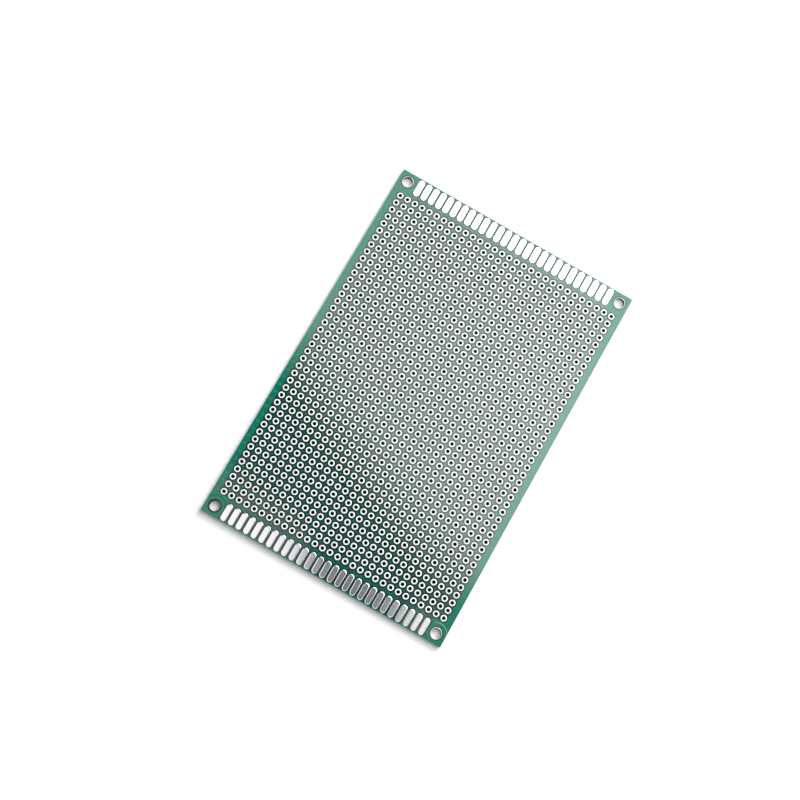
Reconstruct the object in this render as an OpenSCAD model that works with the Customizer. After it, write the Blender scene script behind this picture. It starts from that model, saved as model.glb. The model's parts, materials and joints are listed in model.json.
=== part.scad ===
// Bare prototyping board: a glass-epoxy sheet drilled on an even grid,
// with plated-through holes, rows of edge pads on both faces, four plated
// mounting holes and a coat of solder mask on each face.
// The origin is at the middle of the board, on the plane that it lies on.

/* [Board] */
// Width of the board, along X
board_w = 80; // [50:1:120]
// Length of the board, along Y
board_l = 120; // [60:1:160]
// Thickness of the bare laminate
core_t = 1.5; // [0.7:0.1:2.3]
// Radius of the board's corners
corner_r = 0.4; // [0.2:0.1:2]

/* [Metal and mask] */
// Thickness of the tinned copper on each face
pad_t = 0.05; // [0.04:0.005:0.1]
// Thickness of the plating on a hole's wall
plating_t = 0.05; // [0.03:0.005:0.08]
// Run-out of a round pad's sloped rim
rim_slope = 0.03; // [0.01:0.005:0.05]
// Width and depth of the break at a hole's mouth
mouth = 0.05; // [0.02:0.005:0.08]
// Thickness of the solder mask on each face
mask_t = 0.025; // [0.015:0.005:0.035]
// Bare ring between a pad and the edge of its mask opening
mask_gap = 0.15; // [0.05:0.01:0.18]

/* [Hole grid] */
// Spacing of the holes, and of the edge pads, along a row
pitch = 2.54; // [2:0.01:5.08]
// Finished diameter of a component hole
hole_d = 1; // [0.6:0.05:1.2]
// Gap between the round pads of neighbouring holes
pad_gap = 0.54; // [0.4:0.01:0.8]
// Least distance from a long edge to the nearest round pad
side_clear = 2.1; // [1:0.1:6]

/* [Edge pads] */
// Length of an edge pad, along Y
edge_pad_l = 5.5; // [3:0.1:8]
// Gap between neighbouring edge pads
edge_pad_gap = 0.59; // [0.4:0.01:0.8]
// Distance from the end of the board to an edge pad
edge_inset = 0.25; // [0.2:0.05:1]
// Least distance from the edge pads to a round pad or a mounting ring
edge_clear = 1.1; // [0.5:0.1:3]

/* [Mounting holes] */
// Finished diameter of a mounting hole
mount_d = 3.1; // [2.2:0.1:3.8]
// Width of the ring round a mounting hole
mount_ring_w = 0.25; // [0.15:0.05:0.6]
// Distance from each edge of the board to a mounting hole's centre
mount_inset = 3; // [2.8:0.1:5]

/* [Hidden] */
$fn = 48;

// Heights, from the plane that the board lies on
core_z0 = pad_t;
core_z1 = core_z0 + core_t;
top_z = core_z1 + pad_t;

// Round pads and mounting rings
pad_d = pitch - pad_gap;
drill_d = hole_d + 2 * plating_t;
mount_ring_d = mount_d + 2 * mount_ring_w;
mount_drill_d = mount_d + 2 * plating_t;
mount_x = board_w / 2 - mount_inset;
mount_y = board_l / 2 - mount_inset;

// Hole grid: as many columns and rows as the board has room for
edge_reach = max(edge_inset + edge_pad_l, mount_inset + mount_ring_d / 2);
cols = room_for(board_w - 2 * side_clear - pad_d);
rows = room_for(board_l - 2 * (edge_reach + edge_clear) - pad_d);
half = floor(rows / 2);

// Edge pads: a row at each end of the board, between the mounting rings
edge_pad_w = pitch - edge_pad_gap;
edge_pad_y = board_l / 2 - edge_inset - edge_pad_l / 2;
edge_pads = room_for(2 * (mount_x - mount_ring_d / 2 - edge_clear) - edge_pad_w);

mask_green = [0.13, 0.47, 0.36];
laminate_tan = [0.72, 0.66, 0.45];
tin = [0.83, 0.84, 0.85];

// How many places one pitch apart fit in a span between the outer centres
function room_for(span) = floor(span / pitch) + 1;
// The places of n things one pitch apart, centred on zero
function row_of(n) = [for (i = [0:n - 1]) (i - (n - 1) / 2) * pitch];

// One child at every component hole of the rows first to last
module at_holes(first = 0, last = rows - 1) {
    y = row_of(rows);
    for (x = row_of(cols), j = [first:last]) translate([x, y[j]]) children();
}

// One child at every edge pad of the front (-1) or rear (1) end
module at_edge_pads(end) {
    for (x = row_of(edge_pads)) translate([x, end * edge_pad_y]) children();
}

// One child at every mounting hole
module at_mounts() {
    for (sx = [-1, 1], sy = [-1, 1]) translate([sx * mount_x, sy * mount_y]) children();
}

// The board's outline, with rounded corners
module outline() {
    square([board_w - 2 * corner_r, board_l], center = true);
    square([board_w, board_l - 2 * corner_r], center = true);
    for (sx = [-1, 1], sy = [-1, 1])
        translate([sx * (board_w / 2 - corner_r), sy * (board_l / 2 - corner_r)]) circle(corner_r);
}

// A round-ended slot along Y, grown by a margin all round
module slot(length, width, margin = 0) {
    straight = length - width;
    square([width + 2 * margin, straight], center = true);
    for (s = [-1, 1]) translate([0, s * straight / 2]) circle(d = width + 2 * margin);
}

// A plated-through hole: a barrel with a sloped, broken-edged pad on each face
module plated_hole(bore_d, ring_d) {
    bore = bore_d / 2;
    ring = ring_d / 2;
    wall = bore + plating_t;
    rotate_extrude() polygon([
        [bore, mouth], [bore + mouth, 0],
        [ring - rim_slope, 0], [ring, core_z0],
        [wall, core_z0], [wall, core_z1],
        [ring, core_z1], [ring - rim_slope, top_z],
        [bore + mouth, top_z], [bore, top_z - mouth],
    ]);
}

// The glass-epoxy sheet, drilled for every plated hole
module laminate() {
    color(laminate_tan) translate([0, 0, core_z0]) linear_extrude(core_t) difference() {
        outline();
        at_holes() circle(d = drill_d);
        at_mounts() circle(d = mount_drill_d);
    }
}

// A coat of solder mask with an opening round every pad
module solder_mask(z) {
    color(mask_green) translate([0, 0, z]) linear_extrude(mask_t) difference() {
        outline();
        at_holes() circle(d = pad_d + 2 * mask_gap);
        at_mounts() circle(d = mount_ring_d + 2 * mask_gap);
        for (end = [-1, 1]) at_edge_pads(end) slot(edge_pad_l, edge_pad_w, mask_gap);
    }
}

// The plated component holes of the rows first to last
module plated_holes(first, last) {
    color(tin) at_holes(first, last) plated_hole(hole_d, pad_d);
}

// The row of edge pads on one face, at the front (-1) or rear (1) end
module edge_pad_row(end, z) {
    color(tin) translate([0, 0, z]) linear_extrude(pad_t) at_edge_pads(end) slot(edge_pad_l, edge_pad_w);
}

// The plated wall and rings of one mounting hole
module mounting_ring(sx, sy) {
    color(tin) translate([sx * mount_x, sy * mount_y]) plated_hole(mount_d, mount_ring_d);
}

laminate();
solder_mask(core_z1);  // solder_mask_top
solder_mask(core_z0 - mask_t);  // solder_mask_bottom
plated_holes(0, half - 1);  // plated_holes_front
plated_holes(half, rows - 1);  // plated_holes_rear
edge_pad_row(-1, core_z1);  // edge_pads_top_front
edge_pad_row(1, core_z1);  // edge_pads_top_rear
edge_pad_row(-1, 0);  // edge_pads_bottom_front
edge_pad_row(1, 0);  // edge_pads_bottom_rear
mounting_ring(-1, -1);  // mounting_ring_front_left
mounting_ring(1, -1);  // mounting_ring_front_right
mounting_ring(-1, 1);  // mounting_ring_rear_left
mounting_ring(1, 1);  // mounting_ring_rear_right
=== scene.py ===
import json
import math

import bmesh
import bpy
from mathutils import Matrix, Vector


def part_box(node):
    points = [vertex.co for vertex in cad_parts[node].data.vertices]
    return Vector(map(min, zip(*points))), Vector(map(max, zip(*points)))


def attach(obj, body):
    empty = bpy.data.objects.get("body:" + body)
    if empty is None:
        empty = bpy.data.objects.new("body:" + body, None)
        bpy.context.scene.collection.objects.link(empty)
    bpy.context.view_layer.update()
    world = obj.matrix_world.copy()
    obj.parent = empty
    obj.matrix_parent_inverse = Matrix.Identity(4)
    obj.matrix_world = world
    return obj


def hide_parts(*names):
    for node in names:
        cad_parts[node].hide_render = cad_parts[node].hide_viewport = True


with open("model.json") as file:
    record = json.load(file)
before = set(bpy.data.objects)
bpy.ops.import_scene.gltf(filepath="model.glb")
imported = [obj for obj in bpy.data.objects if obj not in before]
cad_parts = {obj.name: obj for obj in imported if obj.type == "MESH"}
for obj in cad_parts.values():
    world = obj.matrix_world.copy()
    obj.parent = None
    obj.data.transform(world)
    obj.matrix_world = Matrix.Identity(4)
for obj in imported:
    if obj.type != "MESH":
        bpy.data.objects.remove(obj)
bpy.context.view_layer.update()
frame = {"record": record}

bpy.ops.object.select_all(action="DESELECT")

MM = 0.001
# How near corners count as one: in a whole piece, and while its parts are put together
FINE_REACH = 1e-7
WELD_REACH = 1e-6

# ---------------------------------------------------------------- sizes

# The hole field
mounts = {mount["name"]: mount for mount in frame["record"]["mounts"]}
lead_holes = mounts["lead_hole_grid"]["dims"]
PITCH = lead_holes["spacing_x_mm"] * MM
HOLE_R = lead_holes["hole_r_mm"] * MM
field_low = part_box("plated_holes_front")[0]
field_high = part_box("plated_holes_rear")[1]
COLUMNS = int((field_high.x - field_low.x) / PITCH) + 1
ROWS = int((field_high.y - field_low.y) / PITCH) + 1
PAD_R = ((field_high.x - field_low.x) - (COLUMNS - 1) * PITCH) / 2
FIRST_X = -(COLUMNS - 1) / 2 * PITCH
FIRST_Y = -(ROWS - 1) / 2 * PITCH
FIELD_X = COLUMNS / 2 * PITCH
FIELD_Y = ROWS / 2 * PITCH

# The layers
core_low, core_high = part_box("laminate")
CORE_Z0, CORE_Z1 = core_low.z, core_high.z
CORE_MID = (CORE_Z0 + CORE_Z1) / 2
MASK_Z1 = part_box("solder_mask_top")[1].z
MASK_T = MASK_Z1 - CORE_Z1
TOP_Z = field_high.z
PLATING_T = 0.05 * MM
CORNER_R = 0.4 * MM

# The edge pads
pads_low, pads_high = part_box("edge_pads_top_front")
EDGE_PADS = int((pads_high.x - pads_low.x) / PITCH) + 1
EDGE_PAD_W = (pads_high.x - pads_low.x) - (EDGE_PADS - 1) * PITCH
EDGE_PAD_L = pads_high.y - pads_low.y
EDGE_PAD_Y = -(pads_low.y + pads_high.y) / 2
LAST_EDGE_X = (EDGE_PADS - 1) / 2 * PITCH
FIRST_EDGE_X = -LAST_EDGE_X

# The screw holes
ring_low, ring_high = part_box("mounting_ring_front_right")
MOUNT_X = (ring_low.x + ring_high.x) / 2
MOUNT_Y = -(ring_low.y + ring_high.y) / 2
MOUNT_RING_R = (ring_high.x - ring_low.x) / 2
MOUNT_R = mounts["mounting_holes"]["dims"]["hole_r_mm"] * MM
RING_SLOPE = 0.06 * MM
RING_LIP = 0.05 * MM
WALL_TILT = 0.3

# The openings of the mask, and the copper land under it round each screw hole
MASK_GAP = 0.15 * MM
EDGE_MASK_GAP = 0.07 * MM
LAND_W = 1.15 * MM
LAND_SLOPE = 0.4 * MM
LAND_RISE = 0.022 * MM

# The printed row numbers
NUMBER_HEIGHT = 1.1 * MM
NUMBER_T = 0.005 * MM
NUMBER_X = (core_low.x - PAD_R + FIRST_X) / 2 - 0.1 * MM

# How finely round shapes are divided
ROUND_SIDES = 16
MOUNT_SIDES = 56
CORNER_STEPS = 4
SLOT_STEPS = 5
EDGE_PAD_STEPS = 6


# ---------------------------------------------------------------- camera

def place_camera():
    """A long lens high above the front of the board, rolled so that the board lies askew."""
    data = bpy.data.cameras.new("board_camera")
    camera = bpy.data.objects.new("board_camera", data)
    bpy.context.scene.collection.objects.link(camera)
    eye = Vector((0.33, -88.49, 450.46)) * MM
    aim = Vector((-5.85, -2.68, 1.6)) * MM
    roll = math.radians(25.87)
    turn = (aim - eye).to_track_quat("-Z", "Y").to_matrix() @ Matrix.Rotation(roll, 3, "Z")
    camera.matrix_world = Matrix.Translation(eye) @ turn.to_4x4()
    data.lens = 69.41
    data.sensor_width = 36
    data.clip_start = 0.01
    data.clip_end = 20
    bpy.context.scene.camera = camera
    return eye


EYE = place_camera()


# ---------------------------------------------------------------- modelling helpers

def name_newest(name):
    piece = bpy.context.object
    piece.name = name
    piece.data.name = name
    return piece


def select_only(piece):
    bpy.ops.object.select_all(action="DESELECT")
    bpy.context.view_layer.objects.active = piece
    piece.select_set(True)


def edit(piece):
    select_only(piece)
    bpy.ops.object.mode_set(mode="EDIT")


def pick(piece, test):
    """Selects only the corners that pass the test, in edit mode."""
    bpy.ops.mesh.select_mode(type="VERT")
    bpy.ops.mesh.select_all(action="DESELECT")
    mesh = bmesh.from_edit_mesh(piece.data)
    for corner in mesh.verts:
        if test(corner.co):
            corner.select_set(True)
    mesh.select_flush_mode()
    bmesh.update_edit_mesh(piece.data)


def settle(piece):
    """Leaves edit mode and puts the piece's place into its mesh."""
    bpy.ops.object.mode_set(mode="OBJECT")
    select_only(piece)
    bpy.ops.object.transform_apply(location=True, rotation=True, scale=True)
    return piece


def face_outwards(piece):
    """Merges the corners that meet and turns every face outwards."""
    edit(piece)
    bpy.ops.mesh.select_all(action="SELECT")
    bpy.ops.mesh.remove_doubles(threshold=FINE_REACH)
    bpy.ops.mesh.normals_make_consistent(inside=False)
    bpy.ops.object.mode_set(mode="OBJECT")
    return piece


def repeat(piece, count, step):
    """Copies the piece in a row, count times, step apart."""
    row = piece.modifiers.new("row", "ARRAY")
    row.count = count
    row.use_relative_offset = False
    row.use_constant_offset = True
    row.constant_offset_displace = step
    select_only(piece)
    bpy.ops.object.modifier_apply(modifier="row")


def repeat_on_grid(piece):
    repeat(piece, COLUMNS, (PITCH, 0, 0))
    repeat(piece, ROWS, (0, PITCH, 0))


def smooth(piece, angle):
    """Shades the piece smooth, but for edges sharper than the angle in degrees."""
    select_only(piece)
    bpy.ops.object.shade_smooth_by_angle(angle=math.radians(angle))


def join(first, others):
    bpy.ops.object.select_all(action="DESELECT")
    for piece in others:
        piece.select_set(True)
    first.select_set(True)
    bpy.context.view_layer.objects.active = first
    bpy.ops.object.join()
    return first


def finish_piece(piece, material, slot, *nodes):
    piece.data.materials.clear()
    piece.data.materials.append(material)
    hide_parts(*nodes)
    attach(piece, "root")
    return piece


def turned_ring(name, centre, sides, profile):
    """A closed ring: a circle drawn through each radius and height in turn, then to its start."""
    x, y = centre
    radius, height = profile[0]
    bpy.ops.mesh.primitive_circle_add(vertices=sides, radius=radius, location=(x, y, height))
    piece = settle(name_newest(name))
    edit(piece)
    bpy.ops.mesh.select_mode(type="VERT")
    bpy.ops.mesh.select_all(action="SELECT")
    for next_radius, next_height in profile[1:]:
        bpy.ops.mesh.extrude_region_move(
            TRANSFORM_OT_translate={"value": (0, 0, next_height - height)})
        ratio = next_radius / radius
        bpy.ops.transform.resize(value=(ratio, ratio, 1), center_override=(x, y, next_height))
        radius, height = next_radius, next_height
    start_r, start_h = profile[0]

    def on_loop(co, r, h):
        off_radius, off_height = math.hypot(co.x - x, co.y - y) - r, co.z - h
        return abs(off_radius) < WELD_REACH and abs(off_height) < WELD_REACH

    pick(piece, lambda co: on_loop(co, start_r, start_h) or on_loop(co, radius, height))
    bpy.ops.mesh.bridge_edge_loops()
    bpy.ops.object.mode_set(mode="OBJECT")
    return face_outwards(piece)


# ---------------------------------------------------------------- perforated sheets

def outline_loop(width, length, corner, steps, x=0.0, y=0.0, height=0.0):
    """A flat rectangle with rounded corners."""
    bpy.ops.mesh.primitive_plane_add(size=1, location=(x, y, height))
    loop = name_newest("loop")
    loop.scale = (width, length, 1)
    settle(loop)
    edit(loop)
    bpy.ops.mesh.select_all(action="SELECT")
    bpy.ops.mesh.bevel(offset=corner, segments=steps, affect="VERTICES", clamp_overlap=False)
    bpy.ops.mesh.select_all(action="SELECT")
    bpy.ops.mesh.remove_doubles(threshold=WELD_REACH)
    bpy.ops.object.mode_set(mode="OBJECT")
    return loop


def circle_loop(radius, sides, x, y, height):
    bpy.ops.mesh.primitive_circle_add(vertices=sides, radius=radius, location=(x, y, height))
    return settle(name_newest("loop"))


def drop_faces(piece):
    edit(piece)
    bpy.ops.mesh.select_all(action="SELECT")
    bpy.ops.mesh.delete(type="ONLY_FACE")
    bpy.ops.object.mode_set(mode="OBJECT")


def hole_cell(radius, height):
    """One square of sheet, a pitch wide, round one hole."""
    x, y, half = FIRST_X, FIRST_Y, PITCH / 2
    cell = circle_loop(radius, ROUND_SIDES, x, y, height)
    edit(cell)
    bpy.ops.mesh.select_mode(type="VERT")
    bpy.ops.mesh.select_all(action="SELECT")
    bpy.ops.mesh.extrude_region_move(TRANSFORM_OT_translate={"value": (0, 0, 0)})
    grow = half * math.sqrt(2) / radius
    bpy.ops.transform.resize(value=(grow, grow, 1), center_override=(x, y, height))
    for side in (-1, 1):
        pick(cell, lambda co: (co.x - x) * side > half - FINE_REACH)
        bpy.ops.transform.resize(value=(0, 1, 1), center_override=(x + side * half, y, height))
        pick(cell, lambda co: (co.y - y) * side > half - FINE_REACH)
        bpy.ops.transform.resize(value=(1, 0, 1), center_override=(x, y + side * half, height))
    bpy.ops.object.mode_set(mode="OBJECT")
    return cell


def outer_loops(height, mount_r, slot_gap):
    """The board's outline and the openings outside the hole field, as loops of edges."""
    width, length = core_high.x - core_low.x, core_high.y - core_low.y
    loops = [outline_loop(width, length, CORNER_R, CORNER_STEPS, height=height)]
    for side in (-1, 1):
        for end in (-1, 1):
            loops.append(circle_loop(mount_r, MOUNT_SIDES, side * MOUNT_X, end * MOUNT_Y, height))
    if slot_gap is not None:
        for end in (-1, 1):
            slot = outline_loop(EDGE_PAD_W + 2 * slot_gap, EDGE_PAD_L + 2 * slot_gap,
                                EDGE_PAD_W / 2 + slot_gap, SLOT_STEPS,
                                x=FIRST_EDGE_X, y=end * EDGE_PAD_Y, height=height)
            repeat(slot, EDGE_PADS, (PITCH, 0, 0))
            loops.append(slot)
    for loop in loops:
        drop_faces(loop)
    return loops


def fill_round_field(sheet):
    """Fills the sheet between the hole field, the outline and the openings."""
    edit(sheet)
    bpy.ops.mesh.select_mode(type="EDGE")
    bpy.ops.mesh.select_all(action="DESELECT")
    mesh = bmesh.from_edit_mesh(sheet.data)
    reach_x, reach_y = FIELD_X - WELD_REACH, FIELD_Y - WELD_REACH
    for edge in mesh.edges:
        in_field = all(abs(corner.co.x) < reach_x and abs(corner.co.y) < reach_y
                       for corner in edge.verts)
        if len(edge.link_faces) < 2 and not in_field:
            edge.select_set(True)
    bmesh.update_edit_mesh(sheet.data)
    bpy.ops.mesh.fill(use_beauty=True)
    bpy.ops.mesh.select_all(action="SELECT")
    bpy.ops.mesh.normals_make_consistent(inside=False)
    bpy.ops.object.mode_set(mode="OBJECT")


def perforated_sheet(name, height, thickness, hole_r, mount_r, slot_gap=None):
    """A sheet of the board's outline, open at every lead hole and screw hole.

    With a slot gap it is open round every edge pad too."""
    sheet = hole_cell(hole_r, height)
    sheet.name = sheet.data.name = name
    repeat_on_grid(sheet)
    edit(sheet)
    bpy.ops.mesh.select_all(action="SELECT")
    bpy.ops.mesh.remove_doubles(threshold=WELD_REACH)
    bpy.ops.object.mode_set(mode="OBJECT")
    join(sheet, outer_loops(height, mount_r, slot_gap))
    fill_round_field(sheet)
    wall = sheet.modifiers.new("wall", "SOLIDIFY")
    wall.thickness = thickness
    wall.offset = 1 if sheet.data.polygons[0].normal.z > 0 else -1
    bpy.ops.object.modifier_apply(modifier="wall")
    return face_outwards(sheet)


# ---------------------------------------------------------------- shader helpers

def new_material(name):
    material = bpy.data.materials.new(name)
    material.use_nodes = True
    nodes = material.node_tree.nodes
    nodes.clear()
    out = nodes.new("ShaderNodeOutputMaterial")
    shader = nodes.new("ShaderNodeBsdfPrincipled")
    material.node_tree.links.new(shader.outputs[0], out.inputs[0])
    return material, nodes, material.node_tree.links, shader


def object_place(nodes):
    return nodes.new("ShaderNodeTexCoord").outputs["Object"]


def split(nodes, links, place):
    """The x, y and z of a place."""
    parts = nodes.new("ShaderNodeSeparateXYZ")
    links.new(place, parts.inputs[0])
    return parts.outputs


def math_node(nodes, links, operation, a, b=0.0):
    node = nodes.new("ShaderNodeMath")
    node.operation = operation
    for socket, value in zip(node.inputs, (a, b)):
        if isinstance(value, (int, float)):
            socket.default_value = value
        else:
            links.new(value, socket)
    return node.outputs[0]


def length_of(nodes, links, across, along):
    """The length of the line whose two legs are given."""
    squares = [math_node(nodes, links, "MULTIPLY", leg, leg) for leg in (across, along)]
    return math_node(nodes, links, "SQRT", math_node(nodes, links, "ADD", *squares))


def distance_from(nodes, links, place, point):
    node = nodes.new("ShaderNodeVectorMath")
    node.operation = "DISTANCE"
    links.new(place, node.inputs[0])
    node.inputs[1].default_value = point
    return node.outputs["Value"]


def mix_colors(nodes, links, factor, first, second):
    node = nodes.new("ShaderNodeMix")
    node.data_type = "RGBA"
    links.new(factor, node.inputs[0])
    for socket, color in ((node.inputs[6], first), (node.inputs[7], second)):
        if isinstance(color, bpy.types.NodeSocket):
            links.new(color, socket)
        else:
            socket.default_value = (*color, 1)
    return node.outputs[2]


def span(nodes, links, value, low, high, to_low=0.0, to_high=1.0):
    """Maps a value from one range to another, held at the ends."""
    node = nodes.new("ShaderNodeMapRange")
    node.inputs["From Min"].default_value = low
    node.inputs["From Max"].default_value = high
    node.inputs["To Min"].default_value = to_low
    node.inputs["To Max"].default_value = to_high
    links.new(value, node.inputs["Value"])
    return node.outputs[0]


def band(nodes, links, value, low, high, soft):
    """1 between low and high, falling to 0 over a soft edge on both sides."""
    up = span(nodes, links, value, low - soft, low + soft)
    down = span(nodes, links, value, high - soft, high + soft, 1, 0)
    return math_node(nodes, links, "MULTIPLY", up, down)


def bump(nodes, links, height, strength, distance, under=None):
    """Relief from a height, on top of any relief under it."""
    node = nodes.new("ShaderNodeBump")
    if under is not None:
        links.new(under, node.inputs["Normal"])
    node.inputs["Strength"].default_value = strength
    node.inputs["Distance"].default_value = distance
    links.new(height, node.inputs["Height"])
    return node.outputs[0]


def background_rays(nodes, links):
    """1 for a ray that shows the background: seen directly, mirrored or through glass."""
    path = nodes.new("ShaderNodeLightPath")
    mirrored = math_node(nodes, links, "MAXIMUM", path.outputs["Is Glossy Ray"],
                         path.outputs["Is Transmission Ray"])
    return path, math_node(nodes, links, "MAXIMUM", path.outputs["Is Camera Ray"], mirrored)


# ---------------------------------------------------------------- shared effects

def new_group(name, inputs, outputs):
    group = bpy.data.node_groups.new(name, "ShaderNodeTree")
    for label, kind, value in inputs:
        socket = group.interface.new_socket(label, in_out="INPUT", socket_type=kind)
        if value is not None:
            socket.default_value = value
    for label in outputs:
        group.interface.new_socket(label, in_out="OUTPUT", socket_type="NodeSocketFloat")
    start = group.nodes.new("NodeGroupInput")
    end = group.nodes.new("NodeGroupOutput")
    return group, group.nodes, group.links, start, end


def place_group(nodes, links, group, place, **values):
    node = nodes.new("ShaderNodeGroup")
    node.node_tree = group
    links.new(place, node.inputs["Place"])
    for label, value in values.items():
        node.inputs[label.replace("_", " ")].default_value = value
    return node.outputs


def make_mottle_group():
    """Uneven patches in two sizes, from 0 to 1."""
    group, nodes, links, start, end = new_group(
        "mottle",
        [("Place", "NodeSocketVector", None), ("Patch Scale", "NodeSocketFloat", 400.0),
         ("Grain Scale", "NodeSocketFloat", 2500.0), ("Grain Share", "NodeSocketFloat", 0.4)],
        ["Value"])
    mixed = nodes.new("ShaderNodeMix")
    links.new(start.outputs["Grain Share"], mixed.inputs[0])
    for label, detail, target in (("Patch Scale", 3, 2), ("Grain Scale", 2, 3)):
        noise = nodes.new("ShaderNodeTexNoise")
        noise.inputs["Detail"].default_value = detail
        links.new(start.outputs["Place"], noise.inputs["Vector"])
        links.new(start.outputs[label], noise.inputs["Scale"])
        links.new(noise.outputs[0], mixed.inputs[target])
    links.new(span(nodes, links, mixed.outputs[0], 0.3, 0.7), end.inputs["Value"])
    return group


# The soft edge of the field among the pads, and a shift that keeps wrapped places positive
AMONG_SOFT = 0.2 * MM
WRAP_SHIFT = 40 * PITCH


def make_near_pads_group():
    """How far a point lies from the middle of the nearest lead hole, in metres.

    Among Pads is 1 in the hole field and between the edge pads, and 0 on the borders."""
    group, nodes, links, start, end = new_group(
        "from_nearest_hole", [("Place", "NodeSocketVector", None)], ["Distance", "Among Pads"])
    parts = split(nodes, links, start.outputs["Place"])
    offsets, reaches = [], []
    for axis, first in ((0, FIRST_X), (1, FIRST_Y)):
        moved = math_node(nodes, links, "ADD", parts[axis], PITCH / 2 - first + WRAP_SHIFT)
        wrapped = math_node(nodes, links, "MODULO", moved, PITCH)
        offset = math_node(nodes, links, "ABSOLUTE",
                           math_node(nodes, links, "SUBTRACT", wrapped, PITCH / 2))
        reach = math_node(nodes, links, "ABSOLUTE", parts[axis])
        beyond = math_node(nodes, links, "ADD", reach, first)
        offsets.append(math_node(nodes, links, "MAXIMUM", offset, beyond))
        reaches.append(reach)
    links.new(length_of(nodes, links, *offsets), end.inputs["Distance"])
    among = []
    for half_w, half_l in ((FIELD_X, FIELD_Y),
                           (EDGE_PADS / 2 * PITCH, EDGE_PAD_Y + EDGE_PAD_L / 2)):
        across = span(nodes, links, reaches[0], half_w - AMONG_SOFT, half_w + AMONG_SOFT, 1, 0)
        along = span(nodes, links, reaches[1], half_l - AMONG_SOFT, half_l, 1, 0)
        among.append(math_node(nodes, links, "MULTIPLY", across, along))
    links.new(math_node(nodes, links, "MAXIMUM", *among), end.inputs["Among Pads"])
    return group


def make_near_mount_group():
    """How far a point lies from the middle of the nearest screw hole, in metres."""
    group, nodes, links, start, end = new_group(
        "from_mounting_hole", [("Place", "NodeSocketVector", None)], ["Distance"])
    parts = split(nodes, links, start.outputs["Place"])
    legs = []
    for axis, reach in ((0, MOUNT_X), (1, MOUNT_Y)):
        away = math_node(nodes, links, "ABSOLUTE", parts[axis])
        legs.append(math_node(nodes, links, "SUBTRACT", away, reach))
    links.new(length_of(nodes, links, *legs), end.inputs["Distance"])
    return group


def make_edge_pad_group():
    """How far a point lies outside the rim of the nearest edge pad, in metres; below 0 on it."""
    group, nodes, links, start, end = new_group(
        "from_edge_pad", [("Place", "NodeSocketVector", None)], ["Distance"])
    parts = split(nodes, links, start.outputs["Place"])
    moved = math_node(nodes, links, "ADD", parts[0], PITCH / 2 + LAST_EDGE_X)
    wrapped = math_node(nodes, links, "MODULO", moved, PITCH)
    across = math_node(nodes, links, "ABSOLUTE",
                       math_node(nodes, links, "SUBTRACT", wrapped, PITCH / 2))
    beyond = math_node(nodes, links, "SUBTRACT",
                       math_node(nodes, links, "ABSOLUTE", parts[0]), LAST_EDGE_X)
    across = math_node(nodes, links, "MAXIMUM", across, beyond)
    away = math_node(nodes, links, "SUBTRACT",
                     math_node(nodes, links, "ABSOLUTE", parts[1]), EDGE_PAD_Y)
    along = math_node(nodes, links, "SUBTRACT",
                      math_node(nodes, links, "ABSOLUTE", away), (EDGE_PAD_L - EDGE_PAD_W) / 2)
    along = math_node(nodes, links, "MAXIMUM", along, 0.0)
    from_spine = length_of(nodes, links, across, along)
    links.new(math_node(nodes, links, "SUBTRACT", from_spine, EDGE_PAD_W / 2),
              end.inputs["Distance"])
    return group


MOTTLE = make_mottle_group()
NEAR_PADS = make_near_pads_group()
NEAR_MOUNT = make_near_mount_group()
NEAR_EDGE_PAD = make_edge_pad_group()


# ---------------------------------------------------------------- solder mask

BORDER_GREENS = (0.0012, 0.161, 0.104), (0.0025, 0.202, 0.131)
FIELD_GREENS = (0.0005, 0.052, 0.043), (0.010, 0.158, 0.130)
# Painted shade: the first of these greens darkens the mask next to every round pad, the second
# round the screw rings and along the edge pads
NEAR_PAD_SHADE_GREEN = (0.0005, 0.025, 0.021)
RIM_SHADE_GREEN = (0.001, 0.030, 0.022)
NEAR_PAD_START, NEAR_PAD_END = 0.2 * MM, 0.6 * MM
SCREW_RIM_W = 0.3 * MM
SCREW_RIM_SOFT = 0.08 * MM
SCREW_RIM_SHARE = 0.75
EDGE_PAD_RIM_W = 0.5 * MM
BORDER_ROUGHNESS = 0.05, 0.075
FIELD_ROUGHER = 0.025
FIELD_COAT = 0.1, 0.9
COAT_ROUGHNESS = 0.08
MASK_IOR = 1.6
MASK_RELIEF = 0.001 * MM


def mask_color(nodes, links, place, mottle, mount, holes):
    """Even green on the borders, darker and mottled among the pads, with painted shade next to
    the round pads and darkest, as painted shade, at every rim.
    """
    among_pads = holes["Among Pads"]
    border = mix_colors(nodes, links, mottle, *BORDER_GREENS)
    field = mix_colors(nodes, links, mottle, *FIELD_GREENS)
    # Painted shade on the mask next to every round pad
    away = span(nodes, links, holes["Distance"], PAD_R + NEAR_PAD_START, PAD_R + NEAR_PAD_END)
    field = mix_colors(nodes, links, away, NEAR_PAD_SHADE_GREEN, field)
    color = mix_colors(nodes, links, among_pads, border, field)
    # Painted shade round each screw ring and along each edge pad, mixed in below
    screw_rim_shade = band(nodes, links, mount, MOUNT_RING_R, MOUNT_RING_R + SCREW_RIM_W,
                     SCREW_RIM_SOFT)
    screw_rim_shade = math_node(nodes, links, "MULTIPLY", screw_rim_shade, SCREW_RIM_SHARE)
    edge_pad = place_group(nodes, links, NEAR_EDGE_PAD, place)["Distance"]
    pad_rim_shade = span(nodes, links, edge_pad, EDGE_MASK_GAP, EDGE_MASK_GAP + EDGE_PAD_RIM_W, 1, 0)
    pad_rim_shade = math_node(nodes, links, "MULTIPLY", among_pads, pad_rim_shade)
    rim = math_node(nodes, links, "MAXIMUM", screw_rim_shade, pad_rim_shade)
    return mix_colors(nodes, links, rim, color, RIM_SHADE_GREEN)


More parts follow.
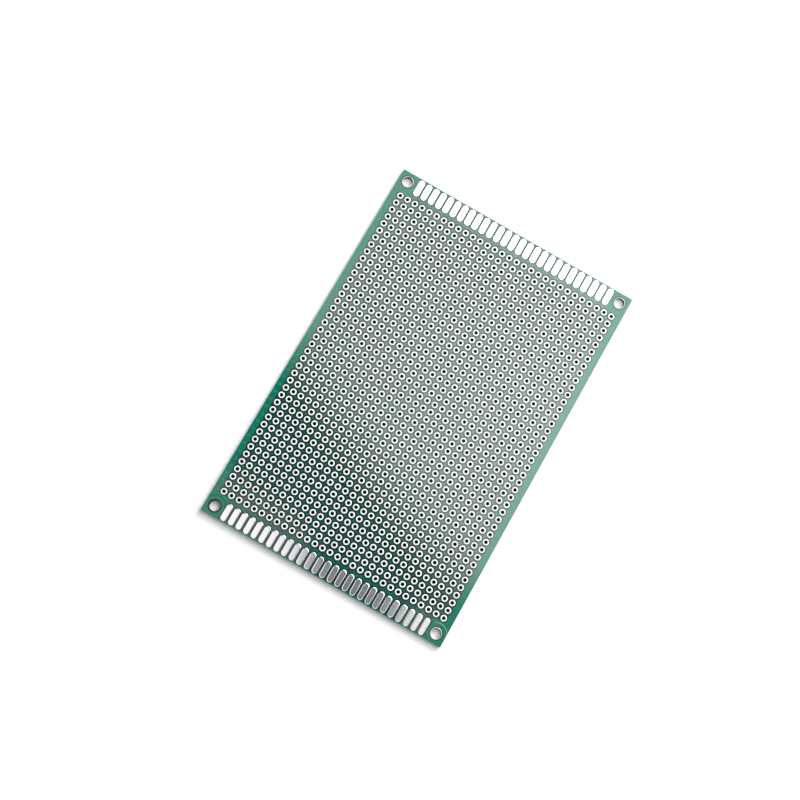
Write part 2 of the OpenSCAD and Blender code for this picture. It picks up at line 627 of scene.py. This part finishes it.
def green_mask_material():
    """Glossy green, with a patchy second gloss among the pads and the land's step under it."""
    material, nodes, links, shader = new_material("green_solder_mask")
    place = object_place(nodes)
    mottle = place_group(nodes, links, MOTTLE, place,
                         Patch_Scale=500.0, Grain_Scale=1200.0, Grain_Share=0.65)[0]
    holes = place_group(nodes, links, NEAR_PADS, place)
    mount = place_group(nodes, links, NEAR_MOUNT, place)["Distance"]
    among_pads = holes["Among Pads"]
    links.new(mask_color(nodes, links, place, mottle, mount, holes), shader.inputs["Base Color"])
    rough = span(nodes, links, mottle, 0, 1, *BORDER_ROUGHNESS)
    rougher = math_node(nodes, links, "MULTIPLY", among_pads, FIELD_ROUGHER)
    links.new(math_node(nodes, links, "ADD", rough, rougher), shader.inputs["Roughness"])
    gloss = span(nodes, links, mottle, 0, 1, *FIELD_COAT)
    links.new(math_node(nodes, links, "MULTIPLY", among_pads, gloss),
              shader.inputs["Coat Weight"])
    land_edge = MOUNT_RING_R + LAND_W
    land = span(nodes, links, mount, land_edge, land_edge + LAND_SLOPE, 1, 0)
    raised = bump(nodes, links, land, 1.0, LAND_RISE)
    links.new(bump(nodes, links, mottle, 0.1, MASK_RELIEF, raised), shader.inputs["Normal"])
    shader.inputs["IOR"].default_value = MASK_IOR
    shader.inputs["Coat Roughness"].default_value = COAT_ROUGHNESS
    return material


# ---------------------------------------------------------------- solder

# Where a round pad keeps its full colour: so far out from its hole, and so far in from its edge;
# nearer the hole and the edge it is painted darker as shade
BRIGHT_FROM_HOLE, BRIGHT_FROM_EDGE, BRIGHT_SOFT = 0.075 * MM, 0.055 * MM, 0.04 * MM
ROUND_RIM_SHADE_SHARE = 0.25

# The painted dark line of shade along the rim of an edge pad, measured inwards
EDGE_RIM_IN, EDGE_RIM_OUT = 0.10 * MM, 0.06 * MM
EDGE_RIM_SHADE_SHARE = 0.03

# The dark green painted on the front-left screw ring as its dark reflection comes in where x and
# y together fall from the first of these to the second
DARK_REFLECTION_START, DARK_REFLECTION_END = -30 * MM, -80 * MM
DARK_REFLECTION_GREEN = (0.004, 0.045, 0.032)
DARK_REFLECTION_SHARE = 0.95


def darker(color, share):
    return tuple(share * part for part in color)


def round_pad_rim_shade(nodes, links, place, color, dark):
    """Round pads: painted shade, darker against the hole and at the outer edge."""
    distance = place_group(nodes, links, NEAR_PADS, place)["Distance"]
    bright = band(nodes, links, distance, HOLE_R + BRIGHT_FROM_HOLE, PAD_R - BRIGHT_FROM_EDGE,
                  BRIGHT_SOFT)
    return mix_colors(nodes, links, bright, darker(dark, ROUND_RIM_SHADE_SHARE), color)


def edge_pad_rim_shade(nodes, links, place, color, dark):
    """Edge pads: painted shade, almost black in a thin line at the rim."""
    distance = place_group(nodes, links, NEAR_EDGE_PAD, place)["Distance"]
    bright = span(nodes, links, distance, -EDGE_RIM_IN, -EDGE_RIM_OUT, 1, 0)
    return mix_colors(nodes, links, bright, darker(dark, EDGE_RIM_SHADE_SHARE), color)


def front_left_dark_reflection(nodes, links, place, color, dark):
    """Screw rings: a dark green reflection is painted on the front-left one, the others are bare.
    """
    parts = split(nodes, links, place)
    diagonal = math_node(nodes, links, "ADD", parts[0], parts[1])
    # Painted dark reflection, strongest on the front-left ring
    painted_dark_reflection = span(nodes, links, diagonal, DARK_REFLECTION_START, DARK_REFLECTION_END, 0, DARK_REFLECTION_SHARE)
    return mix_colors(nodes, links, painted_dark_reflection, color, DARK_REFLECTION_GREEN)


def tin_material(name, colors, roughness, scales, relief, rims):
    """Solder, mottled between two colours and two roughnesses, its rims coloured by rims, which
    paints shade at the pads' edges and a dark reflection on the front-left screw ring.
    """
    light, dark = colors
    smoothest, roughest = roughness
    patch, grain = scales
    material, nodes, links, shader = new_material(name)
    place = object_place(nodes)
    mottle = place_group(nodes, links, MOTTLE, place,
                         Patch_Scale=patch, Grain_Scale=grain, Grain_Share=0.45)[0]
    color = mix_colors(nodes, links, mottle, dark, light)
    links.new(rims(nodes, links, place, color, dark), shader.inputs["Base Color"])
    links.new(span(nodes, links, mottle, 0, 1, roughest, smoothest), shader.inputs["Roughness"])
    links.new(bump(nodes, links, mottle, 0.3, relief), shader.inputs["Normal"])
    shader.inputs["Metallic"].default_value = 1.0
    return material


# ---------------------------------------------------------------- other finishes, with painted shade on the hole walls and the laminate's faces

def barrel_material(name, dark, light, sheen):
    """Plating on the wall of a hole, painted dark as the shade inside it."""
    material, nodes, links, shader = new_material(name)
    mottle = place_group(nodes, links, MOTTLE, object_place(nodes),
                         Patch_Scale=1500.0, Grain_Scale=5000.0, Grain_Share=0.4)[0]
    links.new(mix_colors(nodes, links, mottle, dark, light), shader.inputs["Base Color"])
    links.new(span(nodes, links, mottle, 0, 1, 0.5, 0.75), shader.inputs["Roughness"])
    shader.inputs["Specular IOR Level"].default_value = sheen
    return material


PLY_COLORS = (0.37, 0.53, 0.46), (0.49, 0.66, 0.58)
FIBRE_COLOR = (0.60, 0.73, 0.66)
# The laminate's faces under the mask, seen only in the gaps round the pads, are painted dark as
# shade
CORE_FACE_SHADE_COLORS = (0.003, 0.018, 0.014), (0.007, 0.032, 0.025)
PRINT_COLORS = (0.01, 0.19, 0.13), (0.06, 0.30, 0.23)
FACE_SKIN = 0.002 * MM


def laminate_material():
    """Pale pressed plies on the sawn edges and hole walls; the faces under the mask are painted
    dark as shade.
    """
    material, nodes, links, shader = new_material("glass_epoxy")
    place = object_place(nodes)
    plies = nodes.new("ShaderNodeTexWave")
    plies.bands_direction = "Z"
    plies.inputs["Scale"].default_value = 1400
    plies.inputs["Distortion"].default_value = 2.5
    plies.inputs["Detail"].default_value = 3
    links.new(place, plies.inputs["Vector"])
    mottle = place_group(nodes, links, MOTTLE, place,
                         Patch_Scale=900.0, Grain_Scale=4000.0, Grain_Share=0.5)[0]
    sawn = mix_colors(nodes, links, plies.outputs[1], *PLY_COLORS)
    fibres = math_node(nodes, links, "MULTIPLY", mottle, 0.5)
    sawn = mix_colors(nodes, links, fibres, sawn, FIBRE_COLOR)
    # Painted shade on the faces under the mask
    flat = mix_colors(nodes, links, mottle, *CORE_FACE_SHADE_COLORS)
    height = split(nodes, links, place)[2]
    depth = math_node(nodes, links, "ABSOLUTE",
                      math_node(nodes, links, "SUBTRACT", height, CORE_MID))
    on_face = math_node(nodes, links, "GREATER_THAN", depth,
                        (CORE_Z1 - CORE_Z0) / 2 - FACE_SKIN)
    links.new(mix_colors(nodes, links, on_face, sawn, flat), shader.inputs["Base Color"])
    links.new(span(nodes, links, mottle, 0, 1, 0.55, 0.8), shader.inputs["Roughness"])
    links.new(bump(nodes, links, plies.outputs[1], 0.3, 0.01 * MM), shader.inputs["Normal"])
    shader.inputs["Specular IOR Level"].default_value = 0.15
    return material


def number_print_material():
    """Thin pale green print."""
    material, nodes, links, shader = new_material("pale_number_print")
    mottle = place_group(nodes, links, MOTTLE, object_place(nodes),
                         Patch_Scale=900.0, Grain_Scale=5000.0, Grain_Share=0.5)[0]
    links.new(mix_colors(nodes, links, mottle, *PRINT_COLORS), shader.inputs["Base Color"])
    links.new(span(nodes, links, mottle, 0, 1, 0.25, 0.4), shader.inputs["Roughness"])
    return material


GREEN_MASK = green_mask_material()
TIN = tin_material(
    "bright_tin", colors=((0.77, 0.79, 0.79), (0.62, 0.64, 0.64)), roughness=(0.6, 0.75),
    scales=(1500.0, 5000.0), relief=0.01 * MM, rims=round_pad_rim_shade)
RING_TIN = tin_material(
    "screw_ring_tin", colors=((0.52, 0.52, 0.53), (0.36, 0.36, 0.37)), roughness=(0.25, 0.4),
    scales=(1500.0, 5000.0), relief=0.01 * MM, rims=front_left_dark_reflection)
PAD_TIN = tin_material(
    "edge_pad_tin", colors=((1.0, 0.99, 1.0), (0.985, 0.97, 1.0)), roughness=(0.114, 0.121),
    scales=(900.0, 3200.0), relief=0.0003 * MM, rims=edge_pad_rim_shade)
# Hole walls painted near black and dark grey, as the shade inside the holes
BARREL_PAINTED_SHADE = barrel_material("lead_hole_wall_painted_shade", (0.002, 0.002, 0.0025), (0.008, 0.0078, 0.0085), 0)
SCREW_WALL_PAINTED_SHADE = barrel_material("screw_hole_wall_painted_shade", (0.03, 0.03, 0.033), (0.10, 0.10, 0.105), 0.1)
LAMINATE = laminate_material()
NUMBER_PRINT = number_print_material()


# ---------------------------------------------------------------- pieces

def make_core():
    core = perforated_sheet("board_core", CORE_Z0, CORE_Z1 - CORE_Z0,
                            HOLE_R + PLATING_T, MOUNT_R + PLATING_T)
    finish_piece(core, LAMINATE, "laminate", "laminate")


def make_mask(name, height, node):
    mask = perforated_sheet(name, height, MASK_T, PAD_R + MASK_GAP, MOUNT_RING_R + MASK_GAP,
                            EDGE_MASK_GAP)
    finish_piece(mask, GREEN_MASK, "solder_mask", node)


# The dome of a round pad: how far in from its edge and out from its hole the shoulders lie,
# and how high the outer shoulder and the rim of the hole are, as shares of its rise
DOME_FROM_EDGE, DOME_FROM_HOLE = 0.11 * MM, 0.13 * MM
DOME_EDGE_RISE, DOME_HOLE_RISE = 0.92, 0.2


def make_round_pads(name, foot, crown):
    """The domed rings of solder round every lead hole on one face."""
    rise = crown - foot
    profile = [(PAD_R, foot), (PAD_R - DOME_FROM_EDGE, foot + DOME_EDGE_RISE * rise),
               (HOLE_R + DOME_FROM_HOLE, crown), (HOLE_R, foot + DOME_HOLE_RISE * rise)]
    pads = turned_ring(name, (FIRST_X, FIRST_Y), ROUND_SIDES, profile)
    repeat_on_grid(pads)
    smooth(pads, 60)
    finish_piece(pads, TIN, "tinned_copper", "plated_holes_front", "plated_holes_rear")


def make_barrels():
    """The plated walls of every lead hole, painted near black as the shade inside them."""
    outer_r = HOLE_R + PLATING_T
    profile = [(outer_r, CORE_Z0), (outer_r, CORE_Z1), (HOLE_R, CORE_Z1), (HOLE_R, CORE_Z0)]
    barrels = turned_ring("hole_barrels", (FIRST_X, FIRST_Y), ROUND_SIDES, profile)
    repeat_on_grid(barrels)
    smooth(barrels, 40)
    finish_piece(barrels, BARREL_PAINTED_SHADE, "tinned_copper", "plated_holes_front", "plated_holes_rear")


# How the crown of an edge pad draws in (mm) and up (share of its rise), from its rim inwards
PAD_RIM_RISE = 0.3
PAD_CROWN = ((0.06, 0.35), (0.10, 0.22), (0.14, 0.13), (0.03, 0.0))


def make_edge_pads(name, node, foot, crown):
    """A row of round-ended pads, each crowned where the solder drew up."""
    low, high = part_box(node)
    y = (low.y + high.y) / 2
    rise = crown - foot
    pads = outline_loop(EDGE_PAD_W, EDGE_PAD_L, EDGE_PAD_W / 2, EDGE_PAD_STEPS,
                        x=FIRST_EDGE_X, y=y, height=foot)
    pads.name = pads.data.name = name
    edit(pads)
    bpy.ops.mesh.select_mode(type="FACE")
    bpy.ops.mesh.select_all(action="SELECT")
    bpy.ops.mesh.extrude_region_move(
        TRANSFORM_OT_translate={"value": (0, 0, PAD_RIM_RISE * rise)})
    for inwards, upwards in PAD_CROWN:
        bpy.ops.mesh.inset(thickness=inwards * MM)
        bpy.ops.transform.translate(value=(0, 0, upwards * rise))
    bpy.ops.object.mode_set(mode="OBJECT")
    repeat(pads, EDGE_PADS, (PITCH, 0, 0))
    face_outwards(pads)
    smooth(pads, 60)
    finish_piece(pads, PAD_TIN, "tinned_copper", node)


def make_mounting_ring(name, node):
    """A plated screw hole: a narrow ring on each face and a bored wall painted dark grey as
    shade.
    """
    low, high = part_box(node)
    side, end = math.copysign(1, low.x + high.x), math.copysign(1, low.y + high.y)
    z0, z1 = low.z, high.z
    outer_r, crown_r = MOUNT_R + PLATING_T, MOUNT_RING_R - RING_SLOPE
    profile = [(outer_r, CORE_Z1), (MOUNT_RING_R, CORE_Z1), (crown_r, z1),
               (MOUNT_R + RING_LIP, z1), (MOUNT_R, z1 - RING_LIP),
               (MOUNT_R, z0 + RING_LIP), (MOUNT_R + RING_LIP, z0),
               (crown_r, z0), (MOUNT_RING_R, CORE_Z0), (outer_r, CORE_Z0)]
    ring = turned_ring(name, (side * MOUNT_X, end * MOUNT_Y), MOUNT_SIDES, profile)
    smooth(ring, 50)
    finish_piece(ring, RING_TIN, "tinned_copper", node)
    ring.data.materials.append(SCREW_WALL_PAINTED_SHADE)
    for face in ring.data.polygons:
        if abs(face.normal.z) < WALL_TILT:
            face.material_index = 1


def print_row_numbers():
    """Small plain row numbers down the left border, as thick as the print is."""
    numbers = []
    for row in range(ROWS):
        bpy.ops.object.text_add(location=(0, 0, 0))
        text = bpy.context.object.data
        text.body = str(ROWS - row)
        text.size = NUMBER_HEIGHT
        text.extrude = NUMBER_T / 2
        text.resolution_u = 2
        text.align_x = "CENTER"
        text.align_y = "CENTER"
        bpy.ops.object.convert(target="MESH")
        number = name_newest("row_number")
        number.location = (NUMBER_X, FIRST_Y + row * PITCH, MASK_Z1 + NUMBER_T / 2)
        numbers.append(settle(number))
    numbers = join(numbers[0], numbers[1:])
    numbers.name = numbers.data.name = "row_numbers"
    face_outwards(numbers)
    finish_piece(numbers, NUMBER_PRINT, "solder_mask")


make_core()
make_mask("mask_coat_top", CORE_Z1, "solder_mask_top")
make_mask("mask_coat_bottom", CORE_Z0 - MASK_T, "solder_mask_bottom")
make_round_pads("round_pads_top", CORE_Z1, TOP_Z)
make_round_pads("round_pads_bottom", CORE_Z0, 0.0)
make_barrels()
for end in ("front", "rear"):
    make_edge_pads(f"edge_pads_upper_{end}", f"edge_pads_top_{end}", CORE_Z1, TOP_Z)
    make_edge_pads(f"edge_pads_lower_{end}", f"edge_pads_bottom_{end}", CORE_Z0, 0.0)
    for side in ("left", "right"):
        make_mounting_ring(f"screw_hole_{end}_{side}", f"mounting_ring_{end}_{side}")
print_row_numbers()


# ---------------------------------------------------------------- floor

FLOOR_COLOR = (0.985, 0.935, 0.975)
# A painted shadow under the hole field, seen only through the lead holes
UNDER_FIELD_PAINTED_SHADOW = (0.003, 0.003, 0.003)
GLOW_BESIDE_BOARD, GLOW_AWAY = 0.12, 0.9
GLOW_START, GLOW_END = 2 * MM, 40 * MM

# Soft edges: of the painted shadow round the hole field's outline, of the clear part inside the
# board's outline, and of the floor left solid round each screw hole
DARK_IN, DARK_OUT = 0.6 * MM, 0.2 * MM
CLEAR_IN, CLEAR_OUT = 0.8 * MM, 0.4 * MM
SOLID_R, CLEAR_R = 2.2 * MM, 2.4 * MM


def make_floor():
    """A pale floor with a painted shadow, near black, under the hole field, which glows only
    where it is the background.

    It is clear from below, and lets light by under the board except near the screw holes."""
    bpy.ops.mesh.primitive_plane_add(size=6, location=(0, 0, 0))
    floor = name_newest("floor")
    material, nodes, links, shader = new_material("pale_floor")
    place = object_place(nodes)
    parts = split(nodes, links, place)
    reaches = [math_node(nodes, links, "ABSOLUTE", parts[axis]) for axis in (0, 1)]
    painted_shadow = math_node(nodes, links, "MULTIPLY", *(
        span(nodes, links, reach, half - DARK_IN, half + DARK_OUT, 1, 0)
        for reach, half in zip(reaches, (FIELD_X, FIELD_Y))))
    outside = math_node(nodes, links, "MAXIMUM", *(
        math_node(nodes, links, "SUBTRACT", reach, half)
        for reach, half in zip(reaches, (core_high.x, core_high.y))))
    # The floor's colour, with the painted shadow under the hole field
    links.new(mix_colors(nodes, links, painted_shadow, FLOOR_COLOR, UNDER_FIELD_PAINTED_SHADOW),
              shader.inputs["Base Color"])
    shader.inputs["Roughness"].default_value = 0.9
    shader.inputs["Specular IOR Level"].default_value = 0.0
    path, seen = background_rays(nodes, links)
    open_floor = math_node(nodes, links, "SUBTRACT", 1.0, painted_shadow)
    glow = span(nodes, links, outside, GLOW_START, GLOW_END, GLOW_BESIDE_BOARD, GLOW_AWAY)
    strength = math_node(nodes, links, "MULTIPLY", seen, open_floor)
    strength = math_node(nodes, links, "MULTIPLY", strength, glow)
    shader.inputs["Emission Color"].default_value = (1, 1, 1, 1)
    links.new(strength, shader.inputs["Emission Strength"])
    from_camera = path.outputs["Is Camera Ray"]
    backs = nodes.new("ShaderNodeNewGeometry").outputs["Backfacing"]
    from_below = math_node(nodes, links, "MULTIPLY", from_camera, backs)
    covered = span(nodes, links, outside, -CLEAR_IN, -CLEAR_OUT, 1, 0)
    from_screw = place_group(nodes, links, NEAR_MOUNT, place)["Distance"]
    away_from_screws = span(nodes, links, from_screw, SOLID_R, CLEAR_R)
    covered = math_node(nodes, links, "MULTIPLY", covered, away_from_screws)
    covered = math_node(nodes, links, "MULTIPLY", covered,
                        math_node(nodes, links, "SUBTRACT", 1.0, from_camera))
    clear = math_node(nodes, links, "MAXIMUM", from_below, covered)
    links.new(math_node(nodes, links, "SUBTRACT", 1.0, clear), shader.inputs["Alpha"])
    floor.data.materials.append(material)


# ---------------------------------------------------------------- cards seen in the gloss

CARD_HEIGHT = 0.42
CARD_STEP = 0.001

# Where the softbox's front edge and its brightest point show on the board
GLARE_LEFT = (-39 * MM, -13.6 * MM)
GLARE_RIGHT = (33 * MM, -47.2 * MM)
GLARE_PEAK = (44 * MM, 24 * MM)

SOFTBOX_COLOR = (0.90, 0.975, 0.90)
SOFTBOX_PAST_LEFT = 0.22
SOFTBOX_PAST_RIGHT = 0.28
SOFTBOX_DEPTH = 0.30
SOFTBOX_MARGIN = 0.01
SOFTBOX_PEAK, SOFTBOX_REST = 5.0, 2.1
SOFTBOX_PEAK_R, SOFTBOX_REST_R = 0.03, 0.19
SOFTBOX_BULGE = 0.0035
SOFTBOX_FADE = 0.028

# Outlines of the other cards, in mm, as the board's top face shows them
DARK_OUTLINE = [(-80, 8), (36, -45.4), (36, -51), (27, -50.5), (27, -80), (-4.5, -80),
                (-7.5, -53), (-13.5, -48.3), (-33, -46.5), (-80, -40.5)]
GREY_OUTLINE = [(27, -50.5), (36, -51), (36, -80), (27, -80)]
CORNER_OUTLINE = [(36, -46), (60, -57), (60, -80), (36, -80)]
DARK_COLOR, DARK_STRENGTH = (0.64, 0.73, 1.0), 0.11
GREY_STRENGTH, CORNER_STRENGTH = 1.1, 0.45
WHITE = (1, 1, 1)


def mirrored_at(x, y, height):
    """The point at that height which the top face mirrors to the camera at (x, y), in metres."""
    ratio = (height - MASK_Z1) / (EYE.z - MASK_Z1)
    return Vector((x + (x - EYE.x) * ratio, y + (y - EYE.y) * ratio, height))


def flat_card(name, corners):
    """A flat sheet that the camera never sees directly and that casts no shadow."""
    bpy.ops.mesh.primitive_circle_add(vertices=len(corners), radius=0.1, fill_type="NGON")
    card = name_newest(name)
    edit(card)
    mesh = bmesh.from_edit_mesh(card.data)
    for point, corner in zip(mesh.verts, corners):
        point.co = corner
    bmesh.update_edit_mesh(card.data)
    bpy.ops.object.mode_set(mode="OBJECT")
    card.visible_camera = False
    card.visible_shadow = False
    return card


def make_softbox():
    """The big soft light behind the board: brightest at its right, soft at its front edge."""
    left = mirrored_at(*GLARE_LEFT, CARD_HEIGHT)
    right = mirrored_at(*GLARE_RIGHT, CARD_HEIGHT)
    along = (right - left).normalized()
    away = Vector((-along.y, along.x, 0))
    start = left - along * SOFTBOX_PAST_LEFT - away * SOFTBOX_MARGIN
    stop = right + along * SOFTBOX_PAST_RIGHT - away * SOFTBOX_MARGIN
    depth = away * SOFTBOX_DEPTH
    card = flat_card("softbox", [start, stop, stop + depth, start + depth])
    material, nodes, links, shader = new_material("softbox")
    place = object_place(nodes)
    from_peak = distance_from(nodes, links, place, mirrored_at(*GLARE_PEAK, CARD_HEIGHT))
    glow = span(nodes, links, from_peak, SOFTBOX_PEAK_R, SOFTBOX_REST_R,
                SOFTBOX_PEAK, SOFTBOX_REST)
    chord = (right - left).length
    bow_r = chord * chord / (8 * SOFTBOX_BULGE)
    centre = (left + right) / 2 + away * (bow_r - SOFTBOX_BULGE)
    from_centre = distance_from(nodes, links, place, centre)
    fade = span(nodes, links, from_centre, bow_r, bow_r - SOFTBOX_FADE)
    shader.inputs["Base Color"].default_value = (0, 0, 0, 1)
    shader.inputs["Specular IOR Level"].default_value = 0
    shader.inputs["Emission Color"].default_value = (*SOFTBOX_COLOR, 1)
    links.new(math_node(nodes, links, "MULTIPLY", glow, fade), shader.inputs["Emission Strength"])
    card.data.materials.append(material)


def make_gloss_card(name, outline, color, strength, height):
    """A card of one even tone that shows only in the gloss."""
    card = flat_card(name, [mirrored_at(x * MM, y * MM, height) for x, y in outline])
    card.visible_diffuse = False
    card.visible_transmission = False
    material, nodes, links, shader = new_material(name)
    shader.inputs["Base Color"].default_value = (0.02, 0.02, 0.02, 1)
    shader.inputs["Roughness"].default_value = 0.8
    shader.inputs["Emission Color"].default_value = (*color, 1)
    shader.inputs["Emission Strength"].default_value = strength
    card.data.materials.append(material)


# ---------------------------------------------------------------- lamps and world

KEY_PLACE = (0.24, 0.69, 0.625)
KEY_WIDTH, KEY_LENGTH, KEY_ENERGY = 0.5, 0.35, 6.0
UNDER_PLACE = (0, 0, -0.45)
UNDER_WIDTH, UNDER_ENERGY = 0.3, 0.8
WORLD_ON_BOARD, WORLD_SEEN = 0.22, 1.0


def add_lamp(name, energy, width, place):
    data = bpy.data.lights.new(name, "AREA")
    data.size = width
    data.energy = energy
    lamp = bpy.data.objects.new(name, data)
    bpy.context.scene.collection.objects.link(lamp)
    lamp.location = place
    return lamp


def make_key_light():
    """A lower soft light from behind and to the right, which lays the short shadow in front."""
    lamp = add_lamp("key_light", KEY_ENERGY, KEY_WIDTH, KEY_PLACE)
    lamp.data.shape = "RECTANGLE"
    lamp.data.size_y = KEY_LENGTH
    lamp.rotation_mode = "QUATERNION"
    lamp.rotation_quaternion = (-Vector(KEY_PLACE)).to_track_quat("-Z", "Y")


def make_under_light():
    """A weak lamp below the floor, which only the board's underside catches."""
    lamp = add_lamp("under_light", UNDER_ENERGY, UNDER_WIDTH, UNDER_PLACE)
    lamp.rotation_euler = (math.pi, 0, 0)


def make_world():
    """White where it is the background, and much weaker as light on the board."""
    world = bpy.data.worlds.new("studio")
    bpy.context.scene.world = world
    world.use_nodes = True
    nodes, links = world.node_tree.nodes, world.node_tree.links
    background = nodes["Background"]
    background.inputs["Color"].default_value = (1, 1, 1, 1)
    _, seen = background_rays(nodes, links)
    strength = span(nodes, links, seen, 0, 1, WORLD_ON_BOARD, WORLD_SEEN)
    links.new(strength, background.inputs["Strength"])


make_floor()
make_softbox()
make_key_light()
make_under_light()
make_gloss_card("dark_card", DARK_OUTLINE, DARK_COLOR, DARK_STRENGTH, CARD_HEIGHT + CARD_STEP)
make_gloss_card("grey_card", GREY_OUTLINE, WHITE, GREY_STRENGTH, CARD_HEIGHT - CARD_STEP)
make_gloss_card("corner_card", CORNER_OUTLINE, WHITE, CORNER_STRENGTH,
                CARD_HEIGHT - CARD_STEP)
make_world()
bpy.context.scene.view_settings.view_transform = "Standard"
